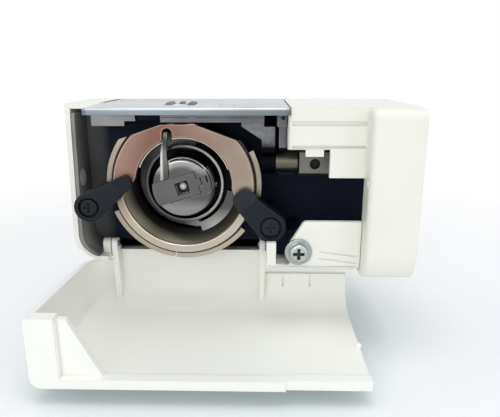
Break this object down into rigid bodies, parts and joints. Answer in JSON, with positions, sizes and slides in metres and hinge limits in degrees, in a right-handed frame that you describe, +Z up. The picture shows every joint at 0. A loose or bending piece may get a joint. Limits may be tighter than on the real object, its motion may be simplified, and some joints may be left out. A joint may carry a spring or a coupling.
{
  "type": "sewing machine bobbin compartment",
  "caption": "Free-arm tip with front-loading bobbin compartment: hinged door, shuttle race and cover, oscillating hook, latched bobbin case, clamp levers and feed.",
  "frame": {"origin": "centre of the bolt pattern on the mounting flange at the root of the arm", "axes": "+X along the arm from the tip to the mounting flange, +Y along the hook axis away from the operator, +Z up"},
  "size_m": [0.1346, 0.0936, 0.0919],
  "materials": {
    "black_casting": "semi-gloss black paint",
    "white_shell": "fine-textured warm white",
    "plate_steel": "satin",
    "bracket_zinc": "plated",
    "race_champagne": "satin champagne plating",
    "cover_bronze": "satin bronze plating",
    "lever_black": "moulded",
    "black_screw": "black oxide",
    "bright_screw": "bright zinc",
    "hook_steel": "polished",
    "driver_steel": "ground",
    "inner_steel": "plain",
    "bush_bronze": "sintered bronze",
    "case_steel": "bright",
    "latch_steel": "satin",
    "bobbin_steel": "bright",
    "feed_steel": "ground",
    "feed_cast": "as cast"
  },
  "bodies": {
    "arm": {"arm_casting": "black_casting", "end_cover": "white_shell", "top_cover": "white_shell", "lower_cover": "white_shell", "cover_washer": "bright_screw", "cover_screw": "bright_screw", "plate_bracket_left": "bracket_zinc", "plate_bracket_right": "bracket_zinc", "needle_plate": "plate_steel", "plate_screws": "bright_screw", "race_body": "race_champagne", "race_screws": "inner_steel", "race_cover": "cover_bronze", "lever_screws": "black_screw", "shaft_bush": "bush_bronze", "rock_bush": "bush_bronze", "hinge_pins": "inner_steel"},
    "door": {"door": "white_shell"},
    "drive": {"hook_shaft": "driver_steel", "hook_driver": "driver_steel", "shaft_clip": "driver_steel", "drive_gear": "driver_steel"},
    "hook": {"shuttle_hook": "hook_steel"},
    "case": {"case_cup": "case_steel", "position_finger": "case_steel", "flap_pin": "latch_steel", "tension_spring": "latch_steel", "tension_screw": "latch_steel"},
    "flap": {"latch_flap": "latch_steel"},
    "slide": {"latch_slide": "latch_steel"},
    "bobbin": {"bobbin": "bobbin_steel"},
    "lever_left": {"lever_left": "lever_black"},
    "lever_right": {"lever_right": "lever_black"},
    "feed": {"rock_shaft": "feed_steel", "feed_crank": "feed_cast", "rock_block": "feed_cast", "set_screw": "black_screw", "feed_bar": "feed_steel", "feed_dog": "feed_steel", "dog_screws": "inner_steel"}
  },
  "joints": [
    {"name": "door_hinge", "type": "hinge", "parent": "arm", "child": "door", "pos_m": [-0.088, -0.0025, -0.0285], "axis": [-1, 0, 0], "range_deg": [0, 90]},
    {"name": "drive_turn", "type": "hinge", "parent": "arm", "child": "drive", "pos_m": [-0.0874, 0.006, 0], "axis": [0, 1, 0], "range_deg": [-100, 100]},
    {"name": "hook_turn", "type": "hinge", "parent": "arm", "child": "hook", "pos_m": [-0.0874, -0.004, 0], "axis": [0, 1, 0], "range_deg": [-100, 100]},
    {"name": "case_pull", "type": "slide", "parent": "arm", "child": "case", "axis": [0, 1, 0], "range_m": [-0.06, 0]},
    {"name": "flap_lift", "type": "hinge", "parent": "case", "child": "flap", "pos_m": [-0.08042, -0.018, 0.00213], "axis": [0.2924, 0, -0.9563], "range_deg": [-75, 0]},
    {"name": "slide_draw", "type": "slide", "parent": "case", "child": "slide", "axis": [0.9563, 0, 0.2924], "range_m": [0, 0.0013]},
    {"name": "bobbin_spin", "type": "hinge", "parent": "case", "child": "bobbin", "pos_m": [-0.0874, -0.011, 0], "axis": [0, 1, 0], "continuous": true},
    {"name": "lever_left_turn", "type": "hinge", "parent": "arm", "child": "lever_left", "pos_m": [-0.1238, -0.018, -0.0077], "axis": [0, -1, 0], "range_deg": [0, 55]},
    {"name": "lever_right_turn", "type": "hinge", "parent": "arm", "child": "lever_right", "pos_m": [-0.053, -0.018, -0.0154], "axis": [0, 1, 0], "range_deg": [0, 72]},
    {"name": "feed_rock", "type": "hinge", "parent": "arm", "child": "feed", "pos_m": [-0.038, -0.009, 0.0088], "axis": [1, 0, 0], "range_deg": [-3.5, 3.5]}
  ],
  "couplings": [
    {"joint": "hook_turn", "follows": "drive_turn", "ratio": 1},
    {"joint": "slide_draw", "follows": "flap_lift", "m_per_rad": -0.0009}
  ]
}
